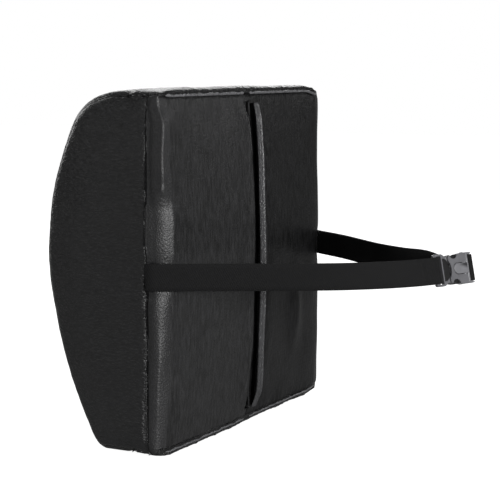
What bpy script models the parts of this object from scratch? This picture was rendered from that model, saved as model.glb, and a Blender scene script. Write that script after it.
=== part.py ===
"""Lumbar support cushion: foam in a sewn cover with a back zip, and a strap loop with a side-release buckle.

Metres, +Z up, +Y out of the back panel, +X towards the left of someone who leans on the front.
The origin is the middle of the flat base.
"""

import math

import bmesh
import bpy
from mathutils import Matrix, Vector

# Cushion
WIDTH = 0.330
HEIGHT = 0.330
DEPTH = 0.120  # at the crest of the front
BASE_DEPTH = 0.056  # flat underside, front to back
TOP_DEPTH = 0.040  # flat top, front to back
CREST_SHARE = 0.54  # height of the crest, as a share of HEIGHT
UPPER_FULLNESS = 2.15  # exponent of the superellipse from the crest to the top
LOWER_FULLNESS = 1.5  # and from the crest to the base
SIDE_ROUND = 0.014  # radius between the sides and everything round them
BACK_ROUND = 0.005  # radius of the back's top and bottom edges

# Cover
COVER = 0.0012  # faux leather
GAP = 0.0003  # between pieces that touch
SIDE_SEAM = 0.014  # from the back plane forward to the seam of each side panel
BORDER = 0.033  # from the back plane forward to the double-needle seam
SIDE_EDGE = 0.005  # from each side in to the seam of the side panel along the front
BORDER_EDGE = 0.004  # how far the border strips reach down from the top and up from the base

# Zip
ZIP_OPENING = 0.0092  # between the two back panels
TAPE_WIDTH = 0.0125
TAPE = 0.0008
TAPE_DROP = 0.0016  # from the back plane in to the tapes
TEETH_GAP = 0.0016  # between the two rows, where the slider's post runs
TEETH_WIDTH = 0.0018
TEETH = 0.0016
ZIP_MARGIN = 0.012  # from the top and the base to the tapes' ends
ZIP_END = 0.022  # from the top and the base to the ends of the rows of teeth
STOP_LENGTH = 0.0025
SLIDER_LENGTH = 0.009
SLIDER_HALF = 0.0036
SLIDER_PLATE = 0.0012
SLIDER_POST = 0.0005  # half its width
SLIDER_CLEAR = 0.0004
CROWN_HALF = 0.0012
CROWN_LENGTH = 0.006
CROWN_HEIGHT = 0.0028
CROWN_EYE = 0.0009  # half the eye's opening
PULL_PIN = 0.0006
PULL_ARM = 0.0009
PULL_LENGTH = 0.018
PULL_THICK = 0.0012

# Placket flap, an arched lip: its fold line, crest and free edge, by X and by height over the back plane
FLAP = 0.0015
FLAP_FOLD = (-0.0160, 0.0009)
FLAP_CREST = (-0.0105, 0.0108)
FLAP_EDGE = (-0.0033, 0.0090)

# Webbing and buckle
WEB_WIDTH = 0.0255
WEB = 0.0015
STRAP_HEIGHT = 0.1633  # of its middle
LEFT_LEAVE = math.radians(28)  # how far the left strap lies round the back corner
RIGHT_LEAVE = math.radians(42)
BUCKLE_PLACE = (0.0054, 0.2004)  # zero of the buckle's own scale, in X and Y from the back plane
BUCKLE_ANGLE = math.radians(154.2)
BUCKLE_LEAN = math.radians(14)  # of its upper edge towards the cushion
BUCKLE_HALF = 0.0152
SLOT_CLEAR = 0.0006  # beside the webbing

# Buckle, in its own scale: X along the way the plug leaves, Y towards the cushion, Z along the webbing's width
ARM_START = 0.0018
LACE_BAR = 0.0038  # the bar that the left strap turns round
BAR_WIDE = 0.0044
BAR_HALF = 0.0014  # half its thickness
TAIL = 0.0165
PLATE_START = 0.0108
PLATE_HALF = 0.0018
PAD_START = 0.0122  # the sunk D-shaped pad
PAD_REACH = 0.0085
PAD_HALF = 0.0112
PAD_DEPTH = 0.0007
WAIST = 0.0160
WAIST_HALF = 0.0124
BODY_START = 0.0180
MOUTH = 0.0410
MOUTH_HALF = 0.0138
BULGE = 0.0360  # where the body is widest
BODY_HALF = 0.0040
CAVITY_HALF = 0.0026
WINDOW = 0.0250  # middle of each side window
WINDOW_RADIUS = 0.0050
WINDOW_REACH = 0.0095  # from the middle line out to the window
RAMP = 0.15  # how fast the side walls close in towards the mouth
WALL = 0.0014
WINDOW_WALL = 0.0012
GUIDE_START = 0.0235
GUIDE_OPENING = 0.0056
PIVOT = 0.0390
PIVOT_SIDE = 0.0068
PIVOT_RADIUS = 0.0015
PRONG_HALF = 0.0018
HUB_START = 0.0368  # of the block that the prongs turn in
FLANGE_END = 0.0433
BAR_PLUG = 0.0476
BAR_RADIUS = 0.0018
PLUG_FRAME_HALF = 0.0021
PLUG_END = 0.0498
PLUG_SLOT = 0.0025
STEP = 0.0003  # small steps between faces of one moulding
PRONG_CLEAR = 0.0008  # round a prong's lobe in its window
GUIDE_HALF = 0.0022  # half width of the tongue that runs down the middle
LOOP_LENGTH = 0.0120
LOOP_LEAN = (-0.31, 0.95)  # the way the sewn loop hangs from the plug's bar
STRAP_LEAD = 0.0080  # from the buckle back to where its strap's two layers part

BACK_Y = BASE_DEPTH / 2
CREST = HEIGHT * CREST_SHARE
LOOP_RADIUS = BAR_RADIUS + GAP + WEB / 2
FAINT = 1e-6

MATERIALS = {
    "faux_leather": ((0.014, 0.014, 0.015, 1), 0.45, 0.0),
    "foam": ((0.62, 0.58, 0.47, 1), 0.95, 0.0),
    "zip_tape": ((0.012, 0.012, 0.013, 1), 0.85, 0.0),
    "zip_metal": ((0.11, 0.11, 0.12, 1), 0.35, 1.0),
    "webbing": ((0.013, 0.013, 0.014, 1), 0.8, 0.0),
    "buckle_plastic": ((0.05, 0.05, 0.053, 1), 0.4, 0.0),
}


def clear_scene():
    for thing in list(bpy.data.objects):
        bpy.data.objects.remove(thing, do_unlink=True)


def material(name):
    found = bpy.data.materials.get(name)
    if found:
        return found
    colour, roughness, metallic = MATERIALS[name]
    made = bpy.data.materials.new(name)
    made.use_nodes = True
    shader = made.node_tree.nodes["Principled BSDF"]
    shader.inputs["Base Color"].default_value = colour
    shader.inputs["Roughness"].default_value = roughness
    shader.inputs["Metallic"].default_value = metallic
    return made


def object_from(name, bm, look, place=None, hidden=False):
    """An object from a closed bmesh, which it frees."""
    bmesh.ops.recalc_face_normals(bm, faces=bm.faces)
    mesh = bpy.data.meshes.new(name)
    bm.to_mesh(mesh)
    bm.free()
    mesh.shade_smooth()
    mesh.set_sharp_from_angle(angle=math.radians(35))
    mesh.materials.append(material(look))
    made = bpy.data.objects.new(name, mesh)
    bpy.context.scene.collection.objects.link(made)
    if place is not None:
        made.matrix_world = place
    if hidden:
        made.hide_render = True
        made.display_type = "WIRE"
    return made


def boolean(target, cutter, operation, solver="EXACT"):
    step = target.modifiers.new(cutter.name, "BOOLEAN")
    step.object = cutter
    step.operation = operation
    step.solver = solver


def add_box(bm, low, high):
    size = Vector(high) - Vector(low)
    middle = (Vector(high) + Vector(low)) / 2
    bmesh.ops.create_cube(bm, size=1, matrix=Matrix.Translation(middle) @ Matrix.Diagonal((*size, 1)))


def box(name, low, high, look, place=None, hidden=False, bevel=0.0):
    bm = bmesh.new()
    add_box(bm, low, high)
    if bevel:
        bmesh.ops.bevel(bm, geom=bm.edges[:], offset=bevel, segments=2, affect="EDGES", profile=0.5)
    return object_from(name, bm, look, place, hidden)


def cutter_box(name, low, high, place=None):
    return box(name, low, high, "foam", place, hidden=True)


def fillet(points, radii, steps=4):
    """A closed outline with each corner rounded by its own radius."""
    rounded = []
    count = len(points)
    for i, (corner, radius) in enumerate(zip(points, radii)):
        here = Vector(corner)
        before = (Vector(points[i - 1]) - here).normalized()
        after = (Vector(points[(i + 1) % count]) - here).normalized()
        half = before.angle(after) / 2
        if radius <= FAINT or half > math.radians(89):
            rounded.append(here)
            continue
        centre = here + (before + after).normalized() * (radius / math.sin(half))
        start = here + before * (radius / math.tan(half)) - centre
        end = here + after * (radius / math.tan(half)) - centre
        turn = start.angle_signed(end)
        for step in range(steps + 1):
            spin = Matrix.Rotation(-turn * step / steps, 2)
            rounded.append(centre + spin @ start)
    return rounded


def open_fillet(points, radius, steps=4):
    """An open route with its inner corners rounded."""
    radii = [0.0] + [radius] * (len(points) - 2) + [0.0]
    return fillet(points, radii, steps)


def prism(name, outline, axis, low, high, look, place=None, hidden=False, bevel=0.0):
    """A flat outline made thick along an axis: its two numbers fill the other two axes in order."""
    bm = bmesh.new()
    add_prism(bm, outline, axis, low, high)
    if bevel:
        rim = [e for e in bm.edges if abs(e.verts[0].co["XYZ".index(axis)] - e.verts[1].co["XYZ".index(axis)]) < FAINT]
        bmesh.ops.bevel(bm, geom=rim, offset=bevel, segments=2, affect="EDGES", profile=0.5)
    return object_from(name, bm, look, place, hidden)


def add_prism(bm, outline, axis, low, high):
    order = {"X": (2, 0, 1), "Y": (0, 2, 1), "Z": (0, 1, 2)}[axis]
    loops = []
    for level in (low, high):
        loop = []
        for first, second in outline:
            spread = (first, second, level)
            loop.append(bm.verts.new([spread[i] for i in order]))
        loops.append(loop)
    bm.faces.new(loops[0])
    bm.faces.new(loops[1])
    for i in range(len(outline)):
        j = (i + 1) % len(outline)
        bm.faces.new((loops[0][i], loops[0][j], loops[1][j], loops[1][i]))


# ---------------------------------------------------------------- the cushion's shape


def side_outline(inset, arc_steps=14):
    """The cushion from the side as (y, z), moved in by inset all round, always with as many points."""
    back = BACK_Y - inset
    top = HEIGHT - inset
    round_back = max(BACK_ROUND - inset, BACK_ROUND * 0.2)
    points = []
    for middle_z, start in ((inset + round_back, -90), (top - round_back, 0)):
        for step in range(5):
            angle = math.radians(start + 90 * step / 4)
            points.append((back - round_back + round_back * math.cos(angle), middle_z + round_back * math.sin(angle)))
    for flat, reach, sign, fullness in (
        (TOP_DEPTH, top - CREST, 1, UPPER_FULLNESS),
        (BASE_DEPTH, CREST - inset, -1, LOWER_FULLNESS),
    ):
        corner = BACK_Y - flat
        steps = range(arc_steps + 1) if sign > 0 else range(arc_steps - 1, -1, -1)
        for step in steps:
            angle = math.radians(90 * step / arc_steps)
            out = math.sin(angle) ** (2 / fullness)
            up = math.cos(angle) ** (2 / fullness)
            points.append((corner - (DEPTH - flat - inset) * out, CREST + sign * reach * up))
    return points


def block(name, inset, look, hidden=False):
    """The whole cushion's shape, with its sides rounded into everything round them."""
    bm = bmesh.new()
    rounding = SIDE_ROUND - inset
    places = []
    for step in range(5):
        angle = math.radians(90 * step / 4)
        places.append((WIDTH / 2 - SIDE_ROUND + rounding * math.sin(angle), inset + rounding * (1 - math.cos(angle))))
    sections = [(-x, d) for x, d in reversed(places)] + places
    rings = []
    for x, depth in sections:
        rings.append([bm.verts.new((x, y, z)) for y, z in side_outline(depth)])
    for first, second in zip(rings, rings[1:]):
        for i in range(len(first)):
            j = (i + 1) % len(first)
            bm.faces.new((first[i], first[j], second[j], second[i]))
    bm.faces.new(rings[0])
    bm.faces.new(rings[-1])
    return object_from(name, bm, look, hidden=hidden)


def make_cover():
    far = 1.0
    edge_x = WIDTH / 2 - SIDE_EDGE
    side_y = BACK_Y - SIDE_SEAM
    border_y = BACK_Y - BORDER
    half = GAP / 2
    hollow = block("hollow", COVER, "foam", hidden=True)
    strip = cutter_box("border_strips", (-edge_x - half, border_y - half, -far), (edge_x + half, far, far))
    middle = cutter_box("between_borders", (-far, -far, BORDER_EDGE + half), (far, far, HEIGHT - BORDER_EDGE - half))
    boolean(strip, middle, "DIFFERENCE")
    opening = ZIP_OPENING / 2
    regions = {
        "cover_front": ((-edge_x + half, -far, -far), (edge_x - half, border_y - half, far), False),
        "cover_side_left": ((edge_x + half, -far, -far), (far, side_y - half, far), False),
        "cover_side_right": ((-far, -far, -far), (-edge_x - half, side_y - half, far), False),
        "cover_top_border": (
            (-edge_x + half, border_y + half, HEIGHT - BORDER_EDGE + half), (edge_x - half, far, far), False),
        "cover_bottom_border": (
            (-edge_x + half, border_y + half, -far), (edge_x - half, far, BORDER_EDGE - half), False),
        "cover_back_left": ((opening, side_y + half, -far), (far, far, far), True),
        "cover_back_right": ((-far, side_y + half, -far), (-opening, far, far), True),
    }
    for name, (low, high, has_borders) in regions.items():
        panel = block(name, 0.0, "faux_leather")
        boolean(panel, hollow, "DIFFERENCE")
        boolean(panel, cutter_box(name + "_region", low, high), "INTERSECT")
        if has_borders:
            boolean(panel, strip, "DIFFERENCE")


def make_foam():
    foam = block("foam_core", COVER + GAP, "foam")
    reach = ZIP_OPENING / 2 + TAPE_WIDTH + GAP
    depth = TAPE_DROP + TAPE + TEETH + SLIDER_PLATE + 3 * SLIDER_CLEAR
    groove = cutter_box(
        "zip_groove", (-reach, BACK_Y - depth, ZIP_MARGIN - GAP), (reach, BACK_Y + DEPTH, HEIGHT - ZIP_MARGIN + GAP))
    boolean(foam, groove, "DIFFERENCE")


# ---------------------------------------------------------------- zip


def make_zip():
    tape_y = BACK_Y - TAPE_DROP - TAPE
    teeth_y = tape_y + TAPE / 2 - TEETH / 2
    inner = TEETH_GAP / 2
    outer = inner + TEETH_WIDTH
    top = HEIGHT - ZIP_END
    for side, sign in (("left", 1), ("right", -1)):
        spans = {
            "zip_tape_" + side: (
                (outer + GAP, ZIP_OPENING / 2 + TAPE_WIDTH), (tape_y, tape_y + TAPE),
                (ZIP_MARGIN, HEIGHT - ZIP_MARGIN), "zip_tape"),
            "zip_teeth_" + side: ((inner, outer), (teeth_y, teeth_y + TEETH), (ZIP_END, top), "zip_tape"),
            "zip_stop_top_" + side: (
                (inner, outer), (teeth_y, teeth_y + TEETH), (top + GAP, top + GAP + STOP_LENGTH), "zip_metal"),
        }
        for name, (xs, ys, zs, look) in spans.items():
            low_x, high_x = sorted(sign * x for x in xs)
            box(name, (low_x, ys[0], zs[0]), (high_x, ys[1], zs[1]), look)
    box(
        "zip_stop_bottom", (-outer, teeth_y, ZIP_END - GAP - STOP_LENGTH), (outer, teeth_y + TEETH, ZIP_END - GAP),
        "zip_metal")
    make_slider(teeth_y, top)


def make_slider(teeth_y, top):
    """The slider, at the top of the closed zip, and its pull. Both have their origin on the pull's hinge."""
    under = teeth_y - SLIDER_CLEAR
    over = teeth_y + TEETH + SLIDER_CLEAR
    crown_y = over + SLIDER_PLATE
    hinge = Vector((0, crown_y + CROWN_HEIGHT / 2, top - SLIDER_LENGTH / 2 - GAP))
    place = Matrix.Translation(hinge)
    half_length = SLIDER_LENGTH / 2
    levels = {
        "back": (under - SLIDER_PLATE - hinge.y, under - hinge.y),
        "front": (over - hinge.y, crown_y - hinge.y),
    }
    slider = box(
        "zip_slider", (-SLIDER_HALF, levels["front"][0], -half_length), (SLIDER_HALF, levels["front"][1], half_length),
        "zip_metal", place, bevel=0.0002)
    plate = box(
        "slider_back_plate", (-SLIDER_HALF, levels["back"][0], -half_length),
        (SLIDER_HALF, levels["back"][1], half_length), "zip_metal", place, hidden=True, bevel=0.0002)
    inside = SLIDER_PLATE / 2
    post = cutter_box(
        "slider_post", (-SLIDER_POST, levels["back"][1] - inside, 0),
        (SLIDER_POST, levels["front"][0] + inside, half_length - GAP), place)
    crown = box(
        "slider_crown", (-CROWN_HALF, levels["front"][1] - inside, -CROWN_LENGTH / 2),
        (CROWN_HALF, CROWN_HEIGHT / 2, CROWN_LENGTH / 2), "zip_metal", place, hidden=True, bevel=0.0002)
    eye = cutter_box(
        "slider_eye", (-SLIDER_HALF, -CROWN_EYE, -CROWN_EYE - GAP), (SLIDER_HALF, CROWN_EYE, CROWN_EYE + GAP), place)
    for extra in (post, plate, crown):
        boolean(slider, extra, "UNION")
    boolean(slider, eye, "DIFFERENCE")

    inner = CROWN_HALF + SLIDER_CLEAR
    outer = inner + PULL_ARM
    tab_top = -CROWN_LENGTH / 2 - 2 * SLIDER_CLEAR
    half_thick = PULL_THICK / 2
    outline = [(-outer, half_thick), (outer, half_thick), (outer, -PULL_LENGTH), (-outer, -PULL_LENGTH)]
    corner = PULL_ARM
    pull = prism(
        "zip_pull", fillet(outline, (0, 0, corner, corner)), "Y", -half_thick, half_thick, "zip_metal", place)
    window = cutter_box("pull_window", (-inner, -PULL_PIN * 2, tab_top), (inner, PULL_PIN * 2, -PULL_PIN), place)
    boolean(pull, window, "DIFFERENCE")


def make_flap():
    """The arched strip beside the zip, its origin at the middle of the fold line that it turns about."""
    reach = HEIGHT / 2 - ZIP_MARGIN
    fold = Vector(FLAP_FOLD)
    crest = Vector(FLAP_CREST) - fold
    edge = Vector(FLAP_EDGE) - fold
    rise = crest.normalized()
    run = (edge - crest).normalized()
    out = Vector((-rise.y, rise.x)) * FLAP / 2
    over = Vector((-run.y, run.x)) * FLAP / 2
    ridge = (out + over) / (1 + rise.dot(run))
    outline = [-out, crest - ridge, edge - over, edge + over, crest + ridge, out]
    free = FLAP * 0.45
    bend = FLAP * 1.5
    place = Matrix.Translation((fold.x, BACK_Y + fold.y, HEIGHT / 2))
    rounds = (0, bend, free, free, bend + FLAP, 0)
    prism("zip_flap", fillet(outline, rounds), "Z", -reach, reach, "faux_leather", place)


# ---------------------------------------------------------------- straps


def buckle_matrix():
    return (
        Matrix.Translation((BUCKLE_PLACE[0], BACK_Y + BUCKLE_PLACE[1], STRAP_HEIGHT))
        @ Matrix.Rotation(BUCKLE_ANGLE, 4, "Z")
        @ Matrix.Rotation(-BUCKLE_LEAN, 4, "X")
    )


def buckle_point(along, inward):
    """A point on the middle line of the webbing where it passes the buckle."""
    return buckle_matrix() @ Vector((along, inward, 0))


def ribbon(name, route, twist_from, twist_to):
    """Webbing on edge along a route, upright up to one place on it and square to the buckle from another on."""
    upright = Vector((0, 0, 1))
    leaning = buckle_matrix().to_3x3() @ upright
    bm = bmesh.new()
    rings = []
    for i, point in enumerate(route):
        before = (point - route[i - 1]).normalized() if i else (route[1] - point).normalized()
        after = (route[i + 1] - point).normalized() if i + 1 < len(route) else before
        along = (before + after).normalized()
        stretch = 1 / max(along.dot(before), 0.5)
        share = min(max((i - twist_from) / (twist_to - twist_from), 0), 1) if twist_to > twist_from else 1
        across = upright.lerp(leaning, share * share * (3 - 2 * share)).normalized()
        side = along.cross(across).normalized() * (WEB / 2 * stretch)
        half = across * WEB_WIDTH / 2
        rings.append([bm.verts.new(point + d) for d in (side + half, side - half, -side - half, -side + half)])
    for first, second in zip(rings, rings[1:]):
        for i in range(4):
            j = (i + 1) % 4
            bm.faces.new((first[i], first[j], second[j], second[i]))
    bm.faces.new(rings[0])
    bm.faces.new(rings[-1])
    return object_from(name, bm, "webbing")


def smooth(points, steps):
    """A Catmull-Rom curve through the points."""
    points = [Vector(p) for p in points]
    ends = [points[0] * 2 - points[1]] + points + [points[-1] * 2 - points[-2]]
    curve = []
    for i in range(1, len(ends) - 2):
        a, b, c, d = ends[i - 1:i + 3]
        for step in range(steps):
            t = step / steps
            curve.append(
                ((b * 2) + (c - a) * t + (a * 2 - b * 5 + c * 4 - d) * t**2 + (b * 3 - a - c * 3 + d) * t**3) / 2)
    curve.append(points[-1])
    return curve


def round_corner(sign, leave):
    """The strap's start at the side seam, lying round the back corner of one side."""
    centre = Vector((sign * (WIDTH / 2 - SIDE_ROUND), BACK_Y - SIDE_ROUND, STRAP_HEIGHT))
    radius = SIDE_ROUND + GAP + WEB / 2
    points = [centre + Vector((sign * radius, SIDE_ROUND - SIDE_SEAM, 0))]
    for step in range(1, 5):
        angle = leave * step / 4
        points.append(centre + Vector((sign * math.cos(angle), math.sin(angle), 0)) * radius)
    return points


def back_point(share, behind):
    """A point on the webbing's middle line, by its share of the way to a side and its distance behind the back."""
    return Vector((share * WIDTH / 2, BACK_Y + behind, STRAP_HEIGHT))


def make_straps():
    layer = BAR_HALF + GAP + WEB / 2
    turn = LACE_BAR + BAR_WIDE / 2 + GAP + WEB / 2
    apart = (WEB + GAP) / 2
    lead = -STRAP_LEAD
    laced = [
        (lead, -apart), (LACE_BAR - BAR_WIDE / 2, -layer), (turn, -layer), (turn, layer),
        (LACE_BAR - BAR_WIDE / 2, layer), (lead, apart), (-TAIL, apart)]
    hand = [buckle_point(*p) for p in open_fillet(laced, 0.0010)]
    free = smooth(
        [round_corner(1, LEFT_LEAVE)[-1], back_point(0.755, 0.0605), back_point(0.536, 0.1240),
         back_point(0.424, 0.1500), back_point(0.279, 0.1740), buckle_point(2.5 * lead, -apart), hand[0]], 6)
    route = round_corner(1, LEFT_LEAVE)[:-1] + free[:-1] + hand
    ribbon("strap_left", route, 20, len(route) - len(hand) - 4)

    ribbon("strap_right_loop", [buckle_point(*p) for p in loop_route()], 0, 0)
    lean = loop_direction()
    foot = Vector((BAR_PLUG, 0)) + lean * (LOOP_LENGTH + GAP)
    start = round_corner(-1, RIGHT_LEAVE)
    free = smooth(
        [start[-1], back_point(-0.806, 0.0490), back_point(-0.509, 0.1060), back_point(-0.364, 0.1440),
         back_point(-0.291, 0.1730), buckle_point(*(foot + lean * 0.012)), buckle_point(*foot)], 6)
    route = start[:-1] + free
    ribbon("strap_right", route, 20, len(route) - 7)


def loop_direction():
    """Which way the sewn loop hangs from the plug's bar, in the buckle's plan."""
    return Vector(LOOP_LEAN).normalized()


def loop_route():
    """Round the plug's bar and back to the seam, as a drop with two legs side by side at its foot."""
    centre = Vector((BAR_PLUG, 0))
    lean = loop_direction()
    across = Vector((-lean.y, lean.x))
    apart = WEB / 2 + GAP / 2
    pinch = math.asin((LOOP_RADIUS - apart) / LOOP_LENGTH)
    points = [centre + lean * LOOP_LENGTH + across * apart]
    for step in range(13):
        angle = -pinch + (math.pi + 2 * pinch) * step / 12
        points.append(centre + (across * math.cos(angle) - lean * math.sin(angle)) * LOOP_RADIUS)
    points.append(centre + lean * LOOP_LENGTH - across * apart)
    return points


def wall_inside(along):
    """Inner half width of the housing at a place along it, a ramp that presses the prongs in."""
    return MOUTH_HALF + WINDOW_WALL / 2 - RAMP * (along - WINDOW - WINDOW_RADIUS) - WINDOW_WALL


def mirrored(points):
    """One side of an outline, drawn from one end to the other, and its mirror image back again."""
    return points + [(along, -side) for along, side in reversed(points)]


def make_housing():
    place = buckle_matrix()
    web_half = WEB_WIDTH / 2 + SLOT_CLEAR
    frame_side = [
        (ARM_START, BUCKLE_HALF), (WAIST - 0.0040, BUCKLE_HALF), (WAIST, WAIST_HALF), (BODY_START + WALL, WAIST_HALF)]
    frame = fillet(mirrored(frame_side), (0.0022, 0.003, 0.0015, 0, 0, 0.0015, 0.003, 0.0022))
    housing = prism("buckle_housing", frame, "Y", -PLATE_HALF, PLATE_HALF, "buckle_plastic", place, bevel=0.0004)
    body_side = [(BODY_START, WAIST_HALF - 0.001), (BODY_START + 0.002, MOUTH_HALF), (BULGE - 0.006, MOUTH_HALF),
                 (BULGE, BUCKLE_HALF), (MOUTH, MOUTH_HALF)]
    rounds = (0.001, 0.0015, 0.003, 0.006, 0.0008)
    body = prism(
        "housing_body", fillet(mirrored(body_side), rounds + rounds[::-1]), "Y", -BODY_HALF, BODY_HALF,
        "buckle_plastic", place, hidden=True, bevel=0.0008)
    boolean(housing, body, "UNION")
    for name, start, end in (("open_end", -PLATE_START, LACE_BAR - BAR_WIDE / 2),
                             ("lacing_slot", LACE_BAR + BAR_WIDE / 2, PLATE_START)):
        corners = [(start, -web_half), (end, -web_half), (end, web_half), (start, web_half)]
        cutter = prism(name, fillet(corners, (0, 0.0006, 0.0006, 0)), "Y", -BODY_HALF, BODY_HALF, "buckle_plastic",
                       place, hidden=True)
        boolean(housing, cutter, "DIFFERENCE")
    trim = BAR_HALF + STEP
    for side, sign in (("outer", -1), ("inner", 1)):
        low, high = sorted((sign * BAR_HALF, sign * 2 * PLATE_HALF))
        shave = cutter_box(
            "bar_shave_" + side, (-ARM_START, low, -web_half + STEP), (PLATE_START - trim, high, web_half - STEP),
            place)
        boolean(housing, shave, "DIFFERENCE")
    pad = [(PAD_START, -PAD_HALF), (PAD_START, PAD_HALF)]
    for step in range(1, 12):
        angle = math.pi / 2 - math.pi * step / 12
        pad.append((PAD_START + PAD_REACH * math.cos(angle), PAD_HALF * math.sin(angle)))
    sunk = prism("sunk_pad", pad, "Y", -2 * BODY_HALF, -PLATE_HALF + PAD_DEPTH, "buckle_plastic", place, hidden=True)
    boolean(housing, sunk, "DIFFERENCE")
    past = MOUTH + WALL
    deep = BODY_START + WALL
    window_end = WINDOW + WINDOW_RADIUS
    widest = wall_inside(window_end)
    cavity = mirrored([(deep, widest), (window_end, widest), (past, wall_inside(past))])
    hollow = prism("housing_cavity", cavity, "Y", -CAVITY_HALF, CAVITY_HALF, "buckle_plastic", place, hidden=True)
    boolean(housing, hollow, "DIFFERENCE")
    for side, sign in (("upper", 1), ("lower", -1)):
        window = [(WINDOW + WINDOW_RADIUS, sign * 2 * BUCKLE_HALF), (WINDOW - WINDOW_RADIUS, sign * 2 * BUCKLE_HALF)]
        for step in range(9):
            angle = math.pi + math.pi * step / 8
            height = WINDOW_REACH + WINDOW_RADIUS * (1 + math.sin(angle))
            window.append((WINDOW + WINDOW_RADIUS * math.cos(angle), sign * height))
        cutter = prism(
            "housing_window_" + side, window, "Y", -2 * BODY_HALF, 2 * BODY_HALF, "buckle_plastic", place, hidden=True)
        boolean(housing, cutter, "DIFFERENCE")
    corner = GUIDE_OPENING * 0.9
    guide = prism(
        "guide_opening",
        fillet([(GUIDE_START, -GUIDE_OPENING), (past, -GUIDE_OPENING), (past, GUIDE_OPENING),
                (GUIDE_START, GUIDE_OPENING)], (corner, 0, 0, corner)),
        "Y", -2 * BODY_HALF, 0, "buckle_plastic", place, hidden=True)
    boolean(housing, guide, "DIFFERENCE", "MANIFOLD")


def add_to_plug(plug, extra, operation="UNION"):
    boolean(plug, extra, operation, "MANIFOLD")


def make_plug():
    place = buckle_matrix()
    face = MOUTH + GAP
    web_half = WEB_WIDTH / 2 + SLOT_CLEAR
    flange = [(face, -MOUTH_HALF), (FLANGE_END, -MOUTH_HALF), (FLANGE_END, MOUTH_HALF), (face, MOUTH_HALF)]
    plug = prism(
        "buckle_plug", fillet(flange, (0.0006,) * 4), "Y", -BODY_HALF + STEP, BODY_HALF - STEP, "buckle_plastic", place,
        bevel=0.0004)
    arm = web_half + WALL
    frame = [(face + STEP, -arm), (PLUG_END, -arm), (PLUG_END, arm), (face + STEP, arm)]
    add_to_plug(plug, prism(
        "plug_frame", fillet(frame, (0, 0.0018, 0.0018, 0)), "Y", -PLUG_FRAME_HALF, PLUG_FRAME_HALF, "buckle_plastic",
        place, hidden=True))
    gap_start = BAR_PLUG - BAR_RADIUS - PLUG_SLOT
    add_to_plug(plug, cutter_box(
        "plug_slot", (gap_start, -2 * BODY_HALF, -web_half), (2 * PLUG_END, 2 * BODY_HALF, web_half), place),
        "DIFFERENCE")
    bm = bmesh.new()
    bmesh.ops.create_cone(
        bm, cap_ends=True, segments=16, radius1=BAR_RADIUS, radius2=BAR_RADIUS, depth=2 * (web_half + WALL / 2),
        matrix=Matrix.Translation((BAR_PLUG, 0, 0)))
    add_to_plug(plug, object_from("plug_bar", bm, "buckle_plastic", place, hidden=True))
    hub = wall_inside(MOUTH) - GAP
    add_to_plug(plug, box(
        "plug_hub", (HUB_START, -CAVITY_HALF + GAP, -hub), (face + STEP, CAVITY_HALF - GAP, hub), "buckle_plastic",
        place, hidden=True))
    inner_end = BODY_START + 2 * WALL
    add_to_plug(plug, box(
        "plug_guide", (inner_end, -CAVITY_HALF + GAP + STEP / 2, -GUIDE_HALF),
        (HUB_START + WALL, CAVITY_HALF - GAP - STEP / 2, GUIDE_HALF), "buckle_plastic", place, hidden=True, bevel=0.0003))
    raised = GUIDE_OPENING - 2 * GAP
    start = GUIDE_START + 2 * GAP
    corner = raised * 0.9
    add_to_plug(plug, prism(
        "plug_oval",
        fillet([(start, -raised), (face + STEP, -raised), (face + STEP, raised), (start, raised)],
               (corner, 0, 0, corner)),
        "Y", -BODY_HALF - STEP, -PRONG_HALF - GAP / 2, "buckle_plastic", place, hidden=True, bevel=0.0005))
    for side, sign in (("upper", 1), ("lower", -1)):
        bm = bmesh.new()
        bmesh.ops.create_cone(
            bm, cap_ends=True, segments=20, radius1=PIVOT_RADIUS + GAP, radius2=PIVOT_RADIUS + GAP,
            depth=2 * (PRONG_HALF + GAP / 2),
            matrix=Matrix.Translation((PIVOT, 0, sign * PIVOT_SIDE)) @ Matrix.Rotation(math.pi / 2, 4, "X"))
        add_to_plug(plug, object_from("prong_socket_" + side, bm, "buckle_plastic", place, hidden=True), "DIFFERENCE")
        low, high = sorted((sign * (PIVOT_SIDE - 0.0030), sign * (PIVOT_SIDE + 0.0022)))
        add_to_plug(plug, cutter_box(
            "prong_swing_" + side, (HUB_START - WALL, -PRONG_HALF - GAP / 2, low),
            (PIVOT - 0.0007, PRONG_HALF + GAP / 2, high), place), "DIFFERENCE")
        make_prong(side, sign, place)


def make_prong(side, sign, place):
    """A sprung arm, with its origin where it bends, and the lobe that fills the housing's window."""
    clear = PRONG_CLEAR
    tip = WINDOW - WINDOW_RADIUS + clear - PIVOT
    shoulder = WINDOW + WINDOW_RADIUS - clear - PIVOT
    middle = (tip + shoulder) / 2
    crest = wall_inside(WINDOW + WINDOW_RADIUS) - GAP - PIVOT_SIDE
    low = WINDOW_REACH + clear - PIVOT_SIDE
    outline = [
        (0, 0.0010), (shoulder + 0.0040, 0.0016), (shoulder, crest), (tip, crest), (tip + 0.0005, low),
        (middle + 0.0030, low - 0.0010), (shoulder + 0.0030, -0.0008), (0, -0.0010)]
    outline = fillet(outline, (0, 0.002, 0.0010, 0.0013, 0.0008, 0.0015, 0.003, 0), 3)
    if sign < 0:
        outline = [(x, -z) for x, z in outline][::-1]
    spot = place @ Matrix.Translation((PIVOT, 0, sign * PIVOT_SIDE))
    arm = prism("buckle_prong_" + side, outline, "Y", -PRONG_HALF, PRONG_HALF, "buckle_plastic", spot)
    bm = bmesh.new()
    bmesh.ops.create_cone(
        bm, cap_ends=True, segments=20, radius1=PIVOT_RADIUS, radius2=PIVOT_RADIUS, depth=2 * (PRONG_HALF - STEP / 10),
        matrix=Matrix.Rotation(math.pi / 2, 4, "X"))
    boolean(arm, object_from("prong_root_" + side, bm, "buckle_plastic", spot, hidden=True), "UNION")


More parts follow.
